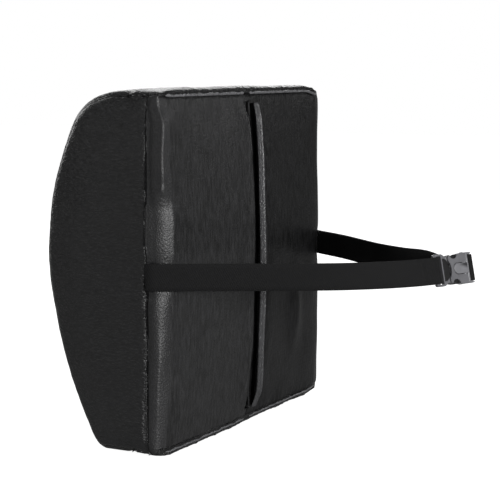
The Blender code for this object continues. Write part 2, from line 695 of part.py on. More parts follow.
def main():
    clear_scene()
    make_foam()
    make_cover()
    make_zip()
    make_flap()
    make_straps()
    make_housing()
    make_plug()


main()
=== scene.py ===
"""Lumbar support cushion: a foam block in a sewn faux-leather cover with a back zip, and a buckled strap loop.

Metres, +Z up, +Y out of the flat back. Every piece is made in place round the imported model.
"""

import math

import bmesh
import bpy
from mathutils import Matrix, Vector, kdtree, noise


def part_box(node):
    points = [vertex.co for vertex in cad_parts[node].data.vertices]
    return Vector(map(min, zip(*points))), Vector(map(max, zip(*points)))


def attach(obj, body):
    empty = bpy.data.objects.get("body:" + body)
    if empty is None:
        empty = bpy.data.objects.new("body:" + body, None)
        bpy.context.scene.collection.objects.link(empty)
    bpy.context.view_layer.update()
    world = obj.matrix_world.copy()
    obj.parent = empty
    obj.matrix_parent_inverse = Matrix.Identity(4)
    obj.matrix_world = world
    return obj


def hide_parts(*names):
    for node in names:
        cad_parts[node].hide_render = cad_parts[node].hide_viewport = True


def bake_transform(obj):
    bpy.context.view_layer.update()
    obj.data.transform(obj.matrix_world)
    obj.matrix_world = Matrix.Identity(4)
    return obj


bl_info = {
    "name": "Lumbar Cushion",
    "version": (1, 0, 0),
    "blender": (4, 5, 0),
    "location": "View3D > Sidebar > Cushion",
    "description": "Makes a lumbar support cushion with a sewn cover, a zip and a buckled strap",
    "category": "Object",
}

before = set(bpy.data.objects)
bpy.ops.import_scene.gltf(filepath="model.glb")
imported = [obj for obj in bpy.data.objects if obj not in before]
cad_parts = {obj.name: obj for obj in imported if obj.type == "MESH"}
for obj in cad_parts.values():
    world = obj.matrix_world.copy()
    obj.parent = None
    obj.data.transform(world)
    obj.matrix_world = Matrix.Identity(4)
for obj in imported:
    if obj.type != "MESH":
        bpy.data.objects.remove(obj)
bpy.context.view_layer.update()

# The block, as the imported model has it
SIDE_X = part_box("cover_side_left")[1].x
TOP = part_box("cover_top_border")[1].z
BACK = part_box("cover_back_left")[1].y
CREST_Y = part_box("cover_front")[0].y
DEPTH = BACK - CREST_Y
TOP_DEPTH = 0.040
BASE_DEPTH = 0.056
CREST_SHARE = 0.54
CREST = TOP * CREST_SHARE
UPPER_FULLNESS = 2.15
LOWER_FULLNESS = 1.5
SIDE_ROUND = 0.014

# Seams of the cover
SIDE_EDGE = SIDE_X - 0.005
SIDE_SEAM = BACK - 0.014
BORDER_SEAM = BACK - 0.033
BORDER_EDGE = 0.004
OPENING = 0.0046
ZIP_MARGIN = 0.012

# How the cover is made
GRID = (62, 18, 66)
SWELL_FRAMES = 16
HELD_WITHIN = 0.004
ALLOWANCE = 0.0026
FOAM_INSET = 0.0042
STRIP_WIDTH = 0.0125
STITCH_ROWS = (0.0245, 0.0305)
SHARP_ANGLE = math.radians(40)
CLOTH = {
    "quality": 4, "mass": 0.3, "tension_stiffness": 18, "compression_stiffness": 18, "shear_stiffness": 8,
    "bending_stiffness": 1.5, "use_pressure": True, "uniform_pressure_force": 4, "vertex_group_mass": "held",
}

# Placket flap
FLAP_FOLD_X = -0.0160
FLAP_STITCH_X = -0.0230
FLAP_THICK = 0.0015

# How the stuffed cover departs from the plain block
BASE_DROP = 0.0040
FAR_TOP_DROP = 0.0062
FAR_BASE_LIFT = 0.0048

# Straps and buckle
WEB_WIDTH = 0.0255
WEB = 0.0015
GAP = 0.0003
STRAP_HEIGHT = 0.1633
BUCKLE = (
    Matrix.Translation((0.0054, BACK + 0.2004, STRAP_HEIGHT))
    @ Matrix.Rotation(math.radians(154.2), 4, "Z")
    @ Matrix.Rotation(math.radians(-14), 4, "X")
)


# ---------------- settings


def length(label, text, value):
    return bpy.props.FloatProperty(name=label, description=text, default=value, unit="LENGTH")


def colour(label, text, value):
    return bpy.props.FloatVectorProperty(name=label, description=text, default=value, subtype="COLOR")


class CushionCover(bpy.types.PropertyGroup):
    """Sizes and colours of the sewn cover."""

    crown: length("Crown", "Most that a panel may swell", 0.0055)
    valley: length("Seam depth", "How far a seam pulls in", 0.0020)
    pucker: length("Pucker", "Height of the small folds beside a seam", 0.0011)
    grain: length("Grain", "Width of one pebble of the grain", 0.0019)
    leather: colour("Leather", "Colour of the faux leather", (0.0090, 0.0090, 0.0094))
    back: colour("Back", "Colour of the back panels", (0.0125, 0.0125, 0.0131))
    foam: colour("Foam", "Colour of the foam block", (0.085, 0.085, 0.090))


class CushionTrim(bpy.types.PropertyGroup):
    """Sizes and colours of the zip, the thread, the webbing and the buckle."""

    stitch: length("Stitch", "Length of one stitch", 0.0026)
    thread: length("Thread", "Thickness of the thread", 0.0005)
    tooth: length("Tooth pitch", "From one zip tooth to the next", 0.0020)
    thread_colour: colour("Thread colour", "Colour of the thread", (0.42, 0.42, 0.43))
    webbing: colour("Webbing", "Colour of the straps", (0.0058, 0.0058, 0.0061))
    plastic: colour("Plastic", "Colour of the buckle", (0.120, 0.120, 0.128))
    metal: colour("Metal", "Colour of the zip's slider and pull", (0.10, 0.10, 0.11))


# ---------------- shader maths


UV_OUTPUT = 2
OBJECT_OUTPUT = 3


def times(colour, factor):
    return tuple(c * factor for c in colour)


class Wire:
    """A socket in a material, with arithmetic that adds Math nodes."""

    def __init__(self, finish, socket):
        self.finish = finish
        self.socket = socket

    def sum_of(self, operation, first, second=0.0):
        return self.finish.node("ShaderNodeMath", {"operation": operation}, {0: first, 1: second})

    def __add__(self, other):
        return self.sum_of("ADD", self, other)

    def __sub__(self, other):
        return self.sum_of("SUBTRACT", self, other)

    def __mul__(self, other):
        return self.sum_of("MULTIPLY", self, other)

    def __rsub__(self, other):
        return self.sum_of("SUBTRACT", other, self)

    def sine(self):
        return self.sum_of("SINE", self)


class Finish:
    """A material as it is built."""

    def __init__(self, name):
        self.material = bpy.data.materials.new(name)
        self.material.use_nodes = True
        self.tree = self.material.node_tree
        self.shader = self.tree.nodes["Principled BSDF"]

    def node(self, kind, settings=None, sockets=None, output=0):
        """Adds one node and gives the wire out of it."""
        made = self.tree.nodes.new(kind)
        for name, value in (settings or {}).items():
            setattr(made, name, value)
        for place, value in (sockets or {}).items():
            self.put(made.inputs[place], value)
        return Wire(self, made.outputs[output])

    def put(self, socket, value):
        if isinstance(value, Wire):
            self.tree.links.new(value.socket, socket)
        else:
            socket.default_value = value

    def set(self, **values):
        """Sets the shader's own sockets; an underscore in a name stands for a space."""
        for name, value in values.items():
            self.put(self.shader.inputs[name.replace("_", " ")], value)

    def place(self, scale=(1, 1, 1)):
        """The piece's own coordinates, stretched."""
        coordinates = self.node("ShaderNodeTexCoord", output=OBJECT_OUTPUT)
        return self.node("ShaderNodeMapping", {"vector_type": "POINT"}, {"Vector": coordinates, "Scale": scale})

    def clouds(self, place, scale, detail=3.0, roughness=0.55):
        sockets = {"Vector": place, "Scale": scale, "Detail": detail, "Roughness": roughness}
        return self.node("ShaderNodeTexNoise", {}, sockets)

    def pebbles(self, place, scale, feature="SMOOTH_F1"):
        return self.node("ShaderNodeTexVoronoi", {"feature": feature}, {"Vector": place, "Scale": scale})

    def shades(self, factor, dark, light):
        """A colour between two by a factor."""
        return self.node(
            "ShaderNodeMix", {"data_type": "RGBA"}, {0: factor, 6: (*dark, 1), 7: (*light, 1)}, output=2)

    def tones(self, factor, colour, dark, light):
        """A darker and a lighter tone of one colour, mixed by a factor."""
        return self.shades(factor, times(colour, dark), times(colour, light))

    def bump(self, height, distance, strength=1.0):
        self.set(Normal=self.node(
            "ShaderNodeBump", {}, {"Strength": strength, "Distance": distance, "Height": height}))


def leather_finish(name, colour, grain, stretch, roughness, relief=1.0):
    """Pebbled faux leather, its pebbles drawn out along one axis, with soft creases and uneven gloss."""
    finish = Finish(name)
    place = finish.place(stretch)
    cells = finish.pebbles(place, 1 / grain)
    fine = finish.clouds(place, 2.2 / grain, 2.0)
    creases = finish.clouds(finish.place(), 26, 4.0)
    height = cells * 0.75 + fine * 0.45 + creases * 1.6
    finish.bump(height, grain * 0.60 * relief, 1.0)
    patches = finish.clouds(finish.place(), 9, 4.0)
    tone = (patches - 0.3) * 0.8 + (0.75 - cells) * 1.1
    finish.set(
        Base_Color=finish.tones(tone, colour, 0.45, 1.6),
        Roughness=cells * 0.16 + patches * 0.14 + (roughness - 0.16),
        Specular_IOR_Level=0.5)
    return finish.material


def woven_finish(name, colour, gloss):
    """The back panels' leathercloth: a fine upright weave under a thin coat."""
    finish = Finish(name)
    place = finish.place((1, 1, 0.16))
    threads = finish.clouds(place, 480, 3.0)
    cross = finish.clouds(finish.place((0.35, 1, 1)), 420, 1.0)
    folds = finish.clouds(finish.place((1.3, 1, 0.55)), 17, 4.0)
    finish.bump(threads * 0.9 + cross * 0.5 + folds * 2.6, 0.00060, 1.0)
    patches = finish.clouds(finish.place((1, 1, 0.6)), 8, 4.0)
    tone = (threads - 0.37) * 2.6 + (patches - 0.5) * 0.6
    finish.set(
        Base_Color=finish.tones(tone, colour, 0.25, 1.75),
        Roughness=threads * 0.2 + patches * 0.15 + 0.30,
        Specular_IOR_Level=gloss)
    return finish.material


def webbing_finish(name, colour):
    """Woven webbing: ribs along it and picks across it, read from the piece's own length and width."""
    finish = Finish(name)
    parts = finish.node("ShaderNodeTexCoord", output=UV_OUTPUT)
    axes = finish.node("ShaderNodeSeparateXYZ", {}, {0: parts})
    along = axes
    across = Wire(finish, axes.socket.node.outputs[1])
    picks = (along * (math.tau / 0.0011)).sine()
    ribs = (across * (math.tau / 0.0016)).sine()
    twill = ((along + across * 0.55) * (math.tau / 0.0021)).sine()
    fuzz = finish.clouds(finish.place(), 1500, 2.0)
    weave = picks * ribs * 0.5 + twill * 0.25 + fuzz * 0.5
    finish.bump(weave, 0.00025, 0.8)
    wear = finish.clouds(finish.place(), 45, 3.0)
    finish.set(
        Base_Color=finish.tones(weave * 0.4 + wear * 0.6, colour, 0.6, 1.7),
        Roughness=wear * 0.12 + 0.66,
        Specular_IOR_Level=0.18)
    return finish.material


def moulded_finish(name, colour):
    """Matt moulded plastic with a fine spark-eroded skin."""
    finish = Finish(name)
    skin = finish.clouds(finish.place(), 3800, 2.0)
    wear = finish.clouds(finish.place(), 110, 3.0)
    finish.bump(skin + wear * 0.8, 0.00006, 0.6)
    finish.set(
        Base_Color=finish.tones(wear, colour, 0.8, 1.25),
        Roughness=wear * 0.16 + 0.24,
        Specular_IOR_Level=0.6)
    return finish.material


def metal_finish(name, colour):
    """Blackened metal, brushed and a little worn."""
    finish = Finish(name)
    brush = finish.clouds(finish.place((1, 1, 0.1)), 2600, 2.0)
    wear = finish.clouds(finish.place(), 300, 3.0)
    finish.bump(brush, 0.00003, 0.5)
    finish.set(
        Base_Color=finish.tones(wear, colour, 0.7, 1.8),
        Metallic=1.0,
        Roughness=brush * 0.2 + 0.24)
    return finish.material


def plain_finish(name, colour, pattern, relief, tones, roughness, **others):
    """A finish whose one pattern gives its relief, its tone and its roughness."""
    finish = Finish(name)
    height = pattern(finish)
    finish.bump(height, *relief)
    uneven, base = roughness
    finish.set(Base_Color=finish.tones(height, colour, *tones), Roughness=height * uneven + base, **others)
    return finish.material


def pad_finish(name, colour):
    """The buckle's dull textured thumb pad."""
    return plain_finish(
        name, colour, lambda f: f.pebbles(f.place(), 1400, "F1"), (0.0002, 0.8), (0.8, 1.9), (0.1, 0.6),
        Specular_IOR_Level=0.3)


def thread_finish(name, colour):
    """Twisted sewing thread."""
    return plain_finish(
        name, colour, lambda f: f.clouds(f.place(), 2400, 1.0), (0.0001, 0.8), (0.6, 1.3), (0.1, 0.55))


def tape_finish(name, colour):
    """The zip's knitted tape."""
    return plain_finish(
        name, colour, lambda f: f.clouds(f.place((1, 1, 0.5)), 1700, 2.0),
        (0.0002, 0.8), (0.6, 1.6), (0.1, 0.75))


def foam_finish(name, colour):
    """Open-cell foam with its fine pores."""
    return plain_finish(
        name, colour, lambda f: f.pebbles(f.place(), 900, "F1"), (0.0004, 0.9), (0.7, 1.05), (0.05, 0.9))


# ---------------- making pieces


def face_out(bm):
    bmesh.ops.recalc_face_normals(bm, faces=bm.faces[:])


def mesh_of(name, bm):
    """A mesh from a bmesh, which is used up."""
    mesh = bpy.data.meshes.new(name)
    bm.to_mesh(mesh)
    bm.free()
    return mesh


def placed(name, data):
    """A new object in the scene."""
    made = bpy.data.objects.new(name, data)
    bpy.context.scene.collection.objects.link(made)
    return made


def aimed(made, at, target):
    """Puts a lamp or a camera at a place and turns it to a target."""
    made.location = at
    made.rotation_euler = (Vector(target) - Vector(at)).to_track_quat("-Z", "Y").to_euler()


def piece_from(name, bm, material, body, replaced=(), smooth=True):
    """A finished piece from a bmesh, in place, riding on its body."""
    mesh = mesh_of(name, bm)
    if smooth:
        mesh.shade_smooth()
    mesh.materials.append(material)
    made = placed(name, mesh)
    if body:
        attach(made, body)
    if replaced:
        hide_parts(*replaced)
    return made


def merged_copy(node, shrink=0.0):
    """A CAD node's mesh as a clean bmesh, its flat faces whole again."""
    bm = bmesh.new()
    bm.from_mesh(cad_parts[node].data)
    bmesh.ops.remove_doubles(bm, verts=bm.verts[:], dist=0.00001)
    bmesh.ops.dissolve_limit(
        bm, angle_limit=math.radians(1), use_dissolve_boundaries=False, verts=bm.verts[:], edges=bm.edges[:])
    face_out(bm)
    if shrink:
        bm.normal_update()
        moves = [(v, v.normal.copy()) for v in bm.verts]
        for vert, out in moves:
            vert.co -= out * shrink
    return bm


def eased_piece(node, name, material, body, ease, segments=2):
    """A CAD node's shape with its hard edges eased."""
    made = piece_from(name, merged_copy(node), material, body, (node,))
    made.data.set_sharp_from_angle(angle=SHARP_ANGLE)
    bevel = made.modifiers.new("eased_edges", "BEVEL")
    bevel.width = ease
    bevel.segments = segments
    bevel.limit_method = "ANGLE"
    bevel.angle_limit = math.radians(35)
    bevel.use_clamp_overlap = True
    bevel.harden_normals = True
    return made


def sweep(bm, outline, stations):
    """Carries a closed outline through the stations and closes both ends.

    It gives each vertex's way along the sweep and its place across.
    """
    start = bmesh.ops.create_circle(bm, cap_ends=True, segments=len(outline))
    ring = start["verts"]
    edges = list({e for v in ring for e in v.link_edges})
    ring_set = set(ring)
    edges = [e for e in edges if e.verts[0] in ring_set and e.verts[1] in ring_set]
    where = {}
    travelled = 0.0
    for i, station in enumerate(stations):
        if i:
            grown = bmesh.ops.extrude_edge_only(bm, edges=edges)["geom"]
            fresh = {g for g in grown if isinstance(g, bmesh.types.BMVert)}
            edges = [g for g in grown if isinstance(g, bmesh.types.BMEdge) and set(g.verts) <= fresh]
            ring = [next(e.other_vert(v) for e in v.link_edges if e.other_vert(v) in fresh) for v in ring]
            travelled += (station.translation - stations[i - 1].translation).length
        for vert, (across, out) in zip(ring, outline):
            vert.co = station @ Vector((across, out, 0))
            where[vert] = (travelled, across)
    bmesh.ops.edgeloop_fill(bm, edges=edges)
    face_out(bm)
    return where


def write_uv(bm, where):
    layer = bm.loops.layers.uv.new("weave")
    for face in bm.faces:
        for loop in face.loops:
            loop[layer].uv = where[loop.vert]


def webbing_outline(width, thick, columns=6):
    """A flat band's outline with rounded edges, as (across, out)."""
    half = width / 2
    edge = thick * 0.5
    points = []
    for side in (1, -1):
        for step in range(columns + 1):
            across = side * (half - edge) * (1 - 2 * step / columns)
            points.append((across, side * thick / 2))
        points.append((-side * (half - edge * 0.25), side * thick * 0.22))
        points.append((-side * (half - edge * 0.25), -side * thick * 0.22))
    return points


def fillet(points, radius, steps=5):
    """An open route with its inner corners rounded."""
    route = [Vector(points[0])]
    for before, here, after in zip(points, points[1:], points[2:]):
        here = Vector(here)
        back = (Vector(before) - here).normalized()
        on = (Vector(after) - here).normalized()
        half = back.angle(on) / 2
        if half > math.radians(88):
            route.append(here)
            continue
        centre = here + (back + on).normalized() * (radius / math.sin(half))
        start = here + back * (radius / math.tan(half)) - centre
        turn = start.angle_signed(here + on * (radius / math.tan(half)) - centre)
        for step in range(steps + 1):
            route.append(centre + Matrix.Rotation(-turn * step / steps, 2) @ start)
    route.append(Vector(points[-1]))
    return route


def smooth_route(points, steps):
    """A curve through the points that passes each one without a corner."""
    ends = [points[0] * 2 - points[1]] + points + [points[-1] * 2 - points[-2]]
    curve = []
    for i in range(1, len(ends) - 2):
        a, b, c, d = ends[i - 1:i + 3]
        for step in range(steps):
            t = step / steps
            square, cube = a * 2 - b * 5 + c * 4 - d, b * 3 - a - c * 3 + d
            curve.append(((b * 2) + (c - a) * t + square * t**2 + cube * t**3) / 2)
    curve.append(points[-1])
    return curve


def stitch_row(bm, places, size, thread):
    """One short stitch at each place: a point, the way along the row and the way out of the cloth."""
    for point, along, out in places:
        side = along.cross(out).normalized()
        lift = side.cross(along).normalized()
        turn = Matrix((along.normalized(), side, lift)).transposed().to_4x4()
        shape = Matrix.Diagonal((size * 0.40, thread / 2, thread / 2, 1))
        place = Matrix.Translation(point + lift * thread * 0.2) @ turn @ shape
        place = place @ Matrix.Rotation(math.pi / 2, 4, "Y")
        bmesh.ops.create_uvsphere(bm, u_segments=6, v_segments=5, radius=1, matrix=place)


# ---------------- the block's shape


def front_place(share, inset):
    """A point of the curved front from the base, 0, to the top, 1, moved in by inset."""
    if share >= CREST_SHARE:
        angle = math.pi / 2 * (1 - share) / (1 - CREST_SHARE)
        flat, fullness, rise = TOP_DEPTH, UPPER_FULLNESS, TOP - inset - CREST
        sign = 1
    else:
        angle = math.pi / 2 * share / CREST_SHARE
        flat, fullness, rise = BASE_DEPTH, LOWER_FULLNESS, CREST - inset
        sign = -1
    out = max(math.sin(angle), 0.0) ** (2 / fullness)
    up = max(math.cos(angle), 0.0) ** (2 / fullness)
    return BACK - flat - (DEPTH - flat - inset) * out, CREST + sign * rise * up


def block_point(a, b, c):
    """Where a point of a cube from -1 to 1 lies on the block: a across, b front to back, c up."""
    flat = SIDE_X - SIDE_ROUND
    if abs(a) > 0.99999 and abs(b) < 0.99999 and abs(c) < 0.99999:
        x, inset = math.copysign(SIDE_X, a), SIDE_ROUND
    else:
        run = abs(a) * (flat + SIDE_ROUND * math.pi / 2)
        angle = max(run - flat, 0) / SIDE_ROUND
        x = math.copysign(min(run, flat) + SIDE_ROUND * math.sin(angle), a)
        inset = SIDE_ROUND * (1 - math.cos(angle))
    share = (c + 1) / 2
    front_y, front_z = front_place(share, inset)
    back_z = inset + (TOP - 2 * inset) * share
    along = (b + 1) / 2
    return Vector((x, front_y + (BACK - inset - front_y) * along, front_z + (back_z - front_z) * along))


def seam_points():
    """Every seam of the cover as points a millimetre or so apart, each with its length, pucker and depth."""
    found = []

    def add(points, pucker, depth):
        travelled = found[-1][1] + 1.7 if found else 0.0
        for i, point in enumerate(points):
            if i:
                travelled += (point - points[i - 1]).length
            found.append((point, travelled, pucker, depth))

    def line(start, end, steps, points):
        return [Vector([a + (b - a) * t / steps for a, b in zip(start, end)]) for t in range(points)]

    tilt = math.asin((SIDE_EDGE - SIDE_X + SIDE_ROUND) / SIDE_ROUND)
    inset = SIDE_ROUND * (1 - math.cos(tilt))
    for side in (1, -1):
        x = side * SIDE_EDGE
        top = line((x, SIDE_SEAM, TOP - inset), (x, BACK - TOP_DEPTH, TOP - inset), 30, 30)
        curve = [Vector((x, *front_place(1 - t / 400, inset))) for t in range(401)]
        base = line((x, BACK - BASE_DEPTH, inset), (x, SIDE_SEAM, inset), 40, 41)
        add(top + curve + base, 0.25, 0.7)
        x = side * SIDE_X
        add(line((x, SIDE_SEAM, 0.006), (x, SIDE_SEAM, TOP - 0.006), 300, 301), 0.10, 0.9)
    for z in (0.0, TOP):
        add(line((-SIDE_EDGE, BORDER_SEAM, z), (SIDE_EDGE, BORDER_SEAM, z), 320, 321), 0.5 if z else 0.1, 0.8)
        edge = TOP - BORDER_EDGE if z else BORDER_EDGE
        add(line((-SIDE_EDGE, BACK, edge), (SIDE_EDGE, BACK, edge), 320, 321), 1.0, 1.0)
    return found


def seam_tree():
    """A tree of the seams' points, and each point's length, pucker and depth."""
    found = seam_points()
    tree = kdtree.KDTree(len(found))
    for i, seam in enumerate(found):
        tree.insert(seam[0], i)
    tree.balance()
    return tree, [seam[1:] for seam in found]


def block_grid(cuts):
    """The block as a closed grid, cut from a cube."""
    bm = bmesh.new()
    bmesh.ops.create_cube(bm, size=2)
    for axis, count in enumerate(cuts):
        spans = [(e, e.verts[0].co - e.verts[1].co) for e in bm.edges]
        along = [e for e, span in spans if abs(span[axis]) > 1e-4 and sum(abs(x) > 1e-4 for x in span) == 1]
        bmesh.ops.subdivide_edges(bm, edges=along, cuts=count, use_grid_fill=True)
    for vert in bm.verts:
        vert.co = block_point(*vert.co)
    face_out(bm)
    return bm


def swell(made, tree, crown):
    """Fills the block with air as cloth held at its seams, and caps how far a point may go."""
    rest = [v.co.copy() for v in made.data.vertices]
    held = made.vertex_groups.new(name="held")
    for vert in made.data.vertices:
        near = tree.find(vert.co)[2]
        held.add([vert.index], 1.0 if near < HELD_WITHIN else 0.0, "REPLACE")
    cloth = made.modifiers.new("swell", "CLOTH")
    for name, value in CLOTH.items():
        setattr(cloth.settings, name, value)
    cloth.settings.effector_weights.gravity = 0
    scene = bpy.context.scene
    for step in range(1, SWELL_FRAMES + 1):
        scene.frame_set(step)
    grown = made.evaluated_get(bpy.context.evaluated_depsgraph_get()).data
    for vert, start, now in zip(made.data.vertices, rest, grown.vertices):
        move = now.co - start
        if move.length > crown:
            move *= crown / move.length
        vert.co = start + move
    made.modifiers.remove(cloth)
    scene.frame_set(1)


# Stops by height: the near corner's ridge, how sharp its edge is, and how far the front is filled out
RIDGE = (
    (0.003, -0.0030), (0.055, -0.0012), (0.096, 0.0018), (0.149, 0.0016), (0.186, 0.0070), (0.213, 0.0088),
    (0.238, 0.0058), (0.272, 0.0046), (0.300, 0.0062), (0.319, 0.0010))
SHARP = (
    (0.006, 0.15), (0.060, 0.30), (0.140, 0.0), (0.168, -0.55), (0.186, -1.15), (0.222, -1.15), (0.246, 0.55),
    (0.258, 0.85), (0.300, 0.75), (0.322, 0.25))
FRONT_FILL = (
    (0.004, 0.0120), (0.025, 0.0085), (0.140, 0.0072), (0.228, 0.0062), (0.272, 0.0042), (0.318, 0.0100))
BACK_FILL = 0.0062


def wobble(*place):
    """Smooth noise at a place, from about -1 to 1."""
    return noise.noise(Vector(place))


def bell(value, middle, width, power=2):
    return math.exp(-(((value - middle) / width) ** power))


def blended(value, stops):
    """A smooth value from stops of (place, value)."""
    if value <= stops[0][0]:
        return stops[0][1]
    for (a, low), (b, high) in zip(stops, stops[1:]):
        if value <= b:
            return low + (high - low) * rise((value - a) / (b - a))
    return stops[-1][1]


def rise(value):
    """From 0 to 1 and level at both ends."""
    value = min(max(value, 0.0), 1.0)
    return value * value * (3 - 2 * value)


def arch(z):
    """From 0 at the base to 1 at mid height and back to 0 at the top."""
    return math.sin(math.pi * min(max(z / TOP, 0), 1))


def base_drop(x, z):
    """How far the base sags, less towards the far side."""
    return BASE_DROP * rise((0.045 - z) / 0.045) * (0.12 + 0.88 * rise((x + 0.14) / 0.28))


def far_slope(x):
    """From 0 to 1 towards the far corners, which slope off."""
    return rise((-x - 0.125) / 0.045)


def back_fill(x, z):
    """How far the stuffing pushes the back panels out, most beside the zip at mid height."""
    across = max(1 - (x / (SIDE_EDGE + 0.004)) ** 2, 0) ** 0.6 * (1 - 0.92 * bell(x, -0.021, 0.009))
    return BACK_FILL * across * max(arch(z), 0) ** 0.85


def worked(point, normal, tree, seams, cover):
    """How a sewn cover lies: seams pull in with puckers beside them, and the strap and the zip drag folds."""
    _, index, near = tree.find(point)
    length, pucker, deep = seams[index]
    x, y, z = point
    flat_back = bell(y, BACK, 0.012)
    depth = cover.valley * deep * bell(near, 0, 0.0032)
    ripple = wobble(length * 105, 0, 0) + 0.6 * wobble(length * 230, 7, 0)
    if z < BORDER_EDGE and flat_back < 0.97:
        pucker *= 0.12
    fold = cover.pucker * pucker * ripple * bell(near, 0, 0.010) * min(near / 0.002 + 0.35, 1)
    slow = noise.noise(point * 13) * 0.0011 + noise.noise(point * 31) * 0.0005
    move = normal * (fold - depth + slow)

    # The stuffing fills out the front, the far side, the base and the back
    held = bell(z, STRAP_HEIGHT, 0.022, 4) * rise((y - BACK + 0.040) / 0.03)
    move.y -= blended(z, FRONT_FILL) * rise((BACK - 0.018 - y) / 0.055)
    move.z -= base_drop(x, z)
    move.z += 0.0016 * rise((z - TOP + 0.045) / 0.045)
    far = rise((-x - 0.090) / 0.075)
    move.x -= 0.0062 * far
    move.y += 0.0036 * far * rise((y - BACK + 0.060) / 0.05)
    move.x += 0.0022 * rise((x - 0.130) / 0.03) * arch(z) * (1 - held)

    # The near back corner: a sharp loose ridge, with a flattened patch above the strap
    corner = bell(x, SIDE_X, 0.020) * bell(y, BACK, 0.018)
    move.y += corner * blended(z, RIDGE)
    over, beyond = x - SIDE_X + SIDE_ROUND, y - BACK + SIDE_ROUND
    if over > 0 and beyond > 0:
        square = SIDE_ROUND / max(over, beyond)
        flat = SIDE_ROUND / (over + beyond)
        sharp = blended(z, SHARP)
        grown = 1 + (square - 1) * sharp if sharp > 0 else 1 + (flat - 1) * -sharp
        move += Vector((over, beyond, 0)) * (grown - 1)
    under_strap = bell(z, STRAP_HEIGHT, 0.016, 4) * rise((y - BACK + 0.022) / 0.012)
    move -= normal * 0.0014 * under_strap * bell(abs(x), SIDE_X, 0.020)

    # The far corners slope off
    slope = far_slope(x)
    move.z -= FAR_TOP_DROP * slope * rise((z - TOP + 0.035) / 0.035)
    move.z += FAR_BASE_LIFT * slope * rise((0.035 - z) / 0.035)

    # The back panels: their fill, the lips of the zip's opening, the strap's dent and loose creases
    if flat_back > 0.5:
        beside = abs(x) - OPENING
        move.y += back_fill(x, z)
        open_run = rise((z - ZIP_MARGIN) / 0.02) * rise((TOP - ZIP_MARGIN - z) / 0.02)
        move.y += (0.0028 if x > 0 else -0.0022) * bell(beside, 0.0, 0.007) * open_run
        move.y += 0.0052 * bell(x, -0.096, 0.011) * bell(z, 0.098, 0.034)
        crease = wobble(x * 34 + z * 9, 11, z * 7)
        edge = math.exp(-min(z, TOP - z) / 0.022)
        move.y += 0.0014 * crease * (0.25 + edge)
    return move


def region_of(centre):
    """Which panel of the cover a point lies on, or None in the zip's opening."""
    if abs(centre.x) > SIDE_EDGE:
        if centre.y < SIDE_SEAM:
            return "side_left" if centre.x > 0 else "side_right"
        return "back_left" if centre.x > 0 else "back_right"
    if centre.y < BORDER_SEAM:
        return "front"
    if centre.z > TOP - BORDER_EDGE:
        return "top_border"
    if centre.z < BORDER_EDGE:
        return "bottom_border"
    if abs(centre.x) < OPENING and ZIP_MARGIN < centre.z < TOP - ZIP_MARGIN:
        return None
    return "back_left" if centre.x > 0 else "back_right"


def cut_seams(bm):
    """Cuts the mesh along the seams, each only where its seam runs."""
    def on_border(p):
        return p.y > BORDER_SEAM and abs(p.x) < SIDE_X

    def at_ends(p):
        return abs(p.x) < SIDE_X and (p.z < 0.02 or p.z > TOP - 0.02)

    def off_back(p):
        return p.y < BACK - 0.004 or p.z < 0.012 or p.z > TOP - 0.012

    def on_back(p):
        return p.y > BACK - 0.01

    def in_opening(p):
        return on_back(p) and abs(p.x) < OPENING

    planes = [
        ("z", TOP - BORDER_EDGE, on_border), ("z", BORDER_EDGE, on_border), ("y", BORDER_SEAM, at_ends),
        ("y", SIDE_SEAM, lambda p: abs(p.x) > SIDE_EDGE - 0.006), ("x", SIDE_EDGE, off_back),
        ("x", -SIDE_EDGE, off_back), ("x", OPENING, on_back), ("x", -OPENING, on_back), ("x", 0.0, on_back),
        ("z", ZIP_MARGIN, in_opening), ("z", TOP - ZIP_MARGIN, in_opening),
    ]
    for axis, level, along in planes:
        index = "xyz".index(axis)
        faces = [f for f in bm.faces if along(f.calc_center_median())
                 and min(v.co[index] for v in f.verts) < level < max(v.co[index] for v in f.verts)]
        geometry = set(faces)
        for face in faces:
            geometry.update(face.verts)
            geometry.update(face.edges)
        spot = [0.0, 0.0, 0.0]
        way = [0.0, 0.0, 0.0]
        spot[index] = level
        way[index] = 1.0
        bmesh.ops.bisect_plane(bm, geom=list(geometry), dist=0.00002, plane_co=spot, plane_no=way)


def turn_in_edges(bm, depth):
    """Rolls a panel's raw edges down into the seam and turns them in, as a seam allowance."""
    bmesh.ops.inset_region(bm, faces=bm.faces[:], use_boundary=True, use_even_offset=False, thickness=0.0008)
    bm.normal_update()
    rim = [e for e in bm.edges if e.is_boundary]
    outs = {v: v.normal.copy() for e in rim for v in e.verts}
    for vert, out in outs.items():
        vert.co -= out * 0.0005
    grown = bmesh.ops.extrude_edge_only(bm, edges=rim)["geom"]
    fresh = {g for g in grown if isinstance(g, bmesh.types.BMVert)}
    for old, out in outs.items():
        for edge in old.link_edges:
            new = edge.other_vert(old)
            if new in fresh:
                new.co = old.co - out * depth


PANELS = {
    "front_panel": ("front", "cover_front", "leather"),
    "side_panel_left": ("side_left", "cover_side_left", "leather"),
    "side_panel_right": ("side_right", "cover_side_right", "leather"),
    "border_top": ("top_border", "cover_top_border", "leather"),
    "border_bottom": ("bottom_border", "cover_bottom_border", "leather"),
    "back_panel_left": ("back_left", "cover_back_left", "woven"),
    # The right back panel takes the leathercloth darkened as painted shade
    "back_panel_right": ("back_right", "cover_back_right", "woven_painted_shade"),
}


class MakeFoam(bpy.types.Operator):
    """Make the foam block inside the cover"""

    bl_idname = "cushion.foam"
    bl_label = "Foam block"

    def execute(self, context):
        cover = context.scene.cushion_cover
        bm = merged_copy("foam_core", shrink=FOAM_INSET)
        look = foam_finish("open_cell_foam", cover.foam)
        made = piece_from("foam_block", bm, look, "root", ("foam_core",))
        made.data.set_sharp_from_angle(angle=SHARP_ANGLE)
        return {"FINISHED"}


